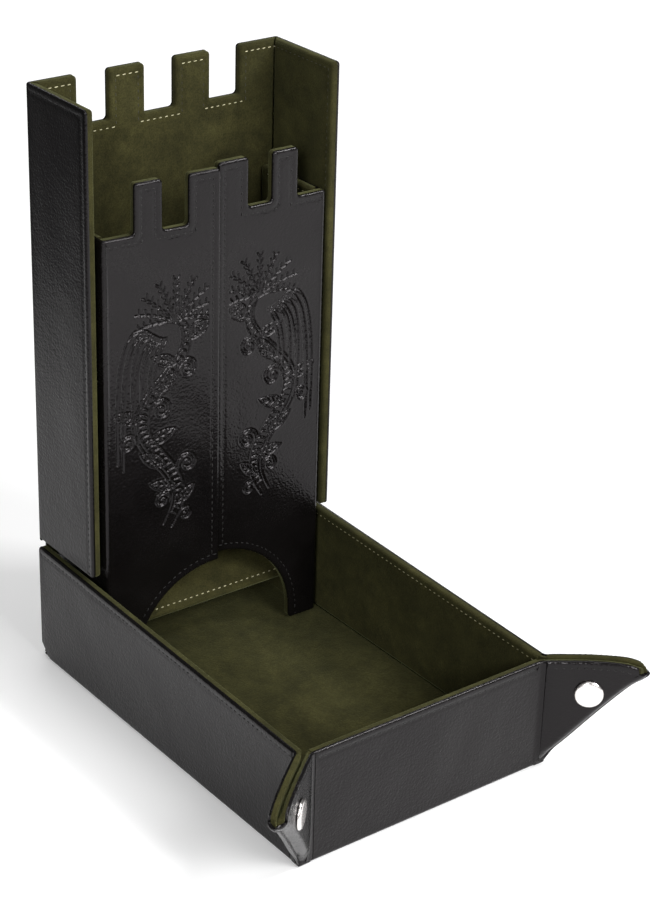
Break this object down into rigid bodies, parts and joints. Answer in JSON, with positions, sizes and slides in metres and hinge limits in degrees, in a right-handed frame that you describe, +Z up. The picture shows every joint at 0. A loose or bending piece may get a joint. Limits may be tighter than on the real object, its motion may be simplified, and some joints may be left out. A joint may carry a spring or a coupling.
{
  "type": "folding dice tower with tray",
  "caption": "Folding leather dice tower with velvet lining: crenellated back and wings, two hinged doors over an arched exit, inner ramp and a snap-corner dice tray.",
  "frame": {"origin": "centre of the tray floor's underside, on the surface the tray stands on", "axes": "+Z up along the tower, +Y from the open front of the tray towards the back of the tower, +X to the right seen from the front"},
  "size_m": [0.1934, 0.2228, 0.2634],
  "materials": {
    "leather": "black synthetic leather, satin, fine grain",
    "velvet": "olive green velvet, short nap",
    "board": "plain grey-brown pressed board, hidden",
    "nickel": "polished nickel plate",
    "thread": "black waxed stitching thread",
    "lining_thread": "pale olive-cream stitching thread"
  },
  "bodies": {
    "tray_floor": {"floor_cover": "leather", "floor_lining": "velvet", "floor_board": "board"},
    "front_wall": {"front_wall_cover": "leather", "front_wall_lining": "velvet", "front_wall_board": "board"},
    "left_wall": {"left_wall_cover": "leather", "left_wall_lining": "velvet", "left_wall_board": "board"},
    "right_wall": {"right_wall_cover": "leather", "right_wall_lining": "velvet", "right_wall_board": "board"},
    "left_ear_side": {"left_ear_side_cover": "leather", "left_ear_side_lining": "velvet", "left_snap_post": "nickel", "left_snap_stud": "nickel"},
    "left_ear_front": {"left_ear_front_cover": "leather", "left_ear_front_lining": "velvet", "left_snap_cap": "nickel", "left_snap_socket": "nickel"},
    "right_ear_side": {"right_ear_side_cover": "leather", "right_ear_side_lining": "velvet", "right_snap_post": "nickel", "right_snap_stud": "nickel"},
    "right_ear_front": {"right_ear_front_cover": "leather", "right_ear_front_lining": "velvet", "right_snap_cap": "nickel", "right_snap_socket": "nickel"},
    "tower": {"back_panel_cover": "leather", "back_panel_lining": "velvet", "back_panel_board": "board", "left_inner_side_cover": "leather", "left_inner_side_lining": "velvet", "left_inner_side_board": "board", "right_inner_side_cover": "leather", "right_inner_side_lining": "velvet", "right_inner_side_board": "board"},
    "left_wing": {"left_wing_cover": "leather", "left_wing_lining": "velvet", "left_wing_board": "board"},
    "right_wing": {"right_wing_cover": "leather", "right_wing_lining": "velvet", "right_wing_board": "board"},
    "left_door": {"left_door_cover": "leather", "left_door_lining": "velvet", "left_door_board": "board"},
    "right_door": {"right_door_cover": "leather", "right_door_lining": "velvet", "right_door_board": "board"},
    "ramp": {"ramp_cover": "leather", "ramp_lining": "velvet", "ramp_board": "board"},
    "upper_baffle": {"upper_baffle_cover": "leather", "upper_baffle_lining": "velvet", "upper_baffle_board": "board"}
  },
  "joints": [
    {"name": "front_wall_fold", "type": "hinge", "parent": "tray_floor", "child": "front_wall", "pos_m": [0, -0.0975, 0], "axis": [1, 0, 0], "range_deg": [0, 90]},
    {"name": "left_wall_fold", "type": "hinge", "parent": "tray_floor", "child": "left_wall", "pos_m": [-0.0635, 0, 0], "axis": [0, -1, 0], "range_deg": [0, 90]},
    {"name": "right_wall_fold", "type": "hinge", "parent": "tray_floor", "child": "right_wall", "pos_m": [0.0635, 0, 0], "axis": [0, 1, 0], "range_deg": [0, 90]},
    {"name": "left_ear_side_fold", "type": "hinge", "parent": "left_wall", "child": "left_ear_side", "pos_m": [-0.0635, -0.0928, 0], "axis": [0, 0, 1], "range_deg": [0, 50]},
    {"name": "left_ear_front_fold", "type": "hinge", "parent": "front_wall", "child": "left_ear_front", "pos_m": [-0.0579, -0.0975, 0], "axis": [0, 0, -1], "range_deg": [0, 40]},
    {"name": "right_ear_side_fold", "type": "hinge", "parent": "right_wall", "child": "right_ear_side", "pos_m": [0.0635, -0.0928, 0], "axis": [0, 0, -1], "range_deg": [0, 50]},
    {"name": "right_ear_front_fold", "type": "hinge", "parent": "front_wall", "child": "right_ear_front", "pos_m": [0.0579, -0.0975, 0], "axis": [0, 0, 1], "range_deg": [0, 40]},
    {"name": "tower_layback", "type": "hinge", "parent": "tray_floor", "child": "tower", "pos_m": [0, 0.0975, 0], "axis": [-1, 0, 0], "range_deg": [0, 90]},
    {"name": "left_wing_fold", "type": "hinge", "parent": "tower", "child": "left_wing", "pos_m": [-0.062, 0.0975, 0.16], "axis": [0, 0, -1], "range_deg": [0, 90]},
    {"name": "right_wing_fold", "type": "hinge", "parent": "tower", "child": "right_wing", "pos_m": [0.062, 0.0975, 0.16], "axis": [0, 0, 1], "range_deg": [0, 90]},
    {"name": "left_door_swing", "type": "hinge", "parent": "tower", "child": "left_door", "pos_m": [-0.0556, 0.0516, 0.107], "axis": [0, 0, -1], "range_deg": [-11.5, 85]},
    {"name": "right_door_swing", "type": "hinge", "parent": "tower", "child": "right_door", "pos_m": [0.0556, 0.0516, 0.107], "axis": [0, 0, 1], "range_deg": [-6, 91]},
    {"name": "ramp_drop", "type": "hinge", "parent": "tower", "child": "ramp", "pos_m": [0, 0.0927, 0.048], "axis": [1, 0, 0], "range_deg": [0, 49]},
    {"name": "baffle_lift", "type": "hinge", "parent": "tower", "child": "upper_baffle", "pos_m": [0, 0.0929, 0.14], "axis": [-1, 0, 0], "range_deg": [0, 124]}
  ],
  "couplings": [
    {"joint": "left_wall_fold", "follows": "front_wall_fold", "ratio": 1},
    {"joint": "right_wall_fold", "follows": "front_wall_fold", "ratio": 1},
    {"joint": "left_ear_side_fold", "follows": "front_wall_fold", "ratio": 0.55556},
    {"joint": "left_ear_front_fold", "follows": "front_wall_fold", "ratio": 0.44444},
    {"joint": "right_ear_side_fold", "follows": "front_wall_fold", "ratio": 0.55556},
    {"joint": "right_ear_front_fold", "follows": "front_wall_fold", "ratio": 0.44444}
  ]
}
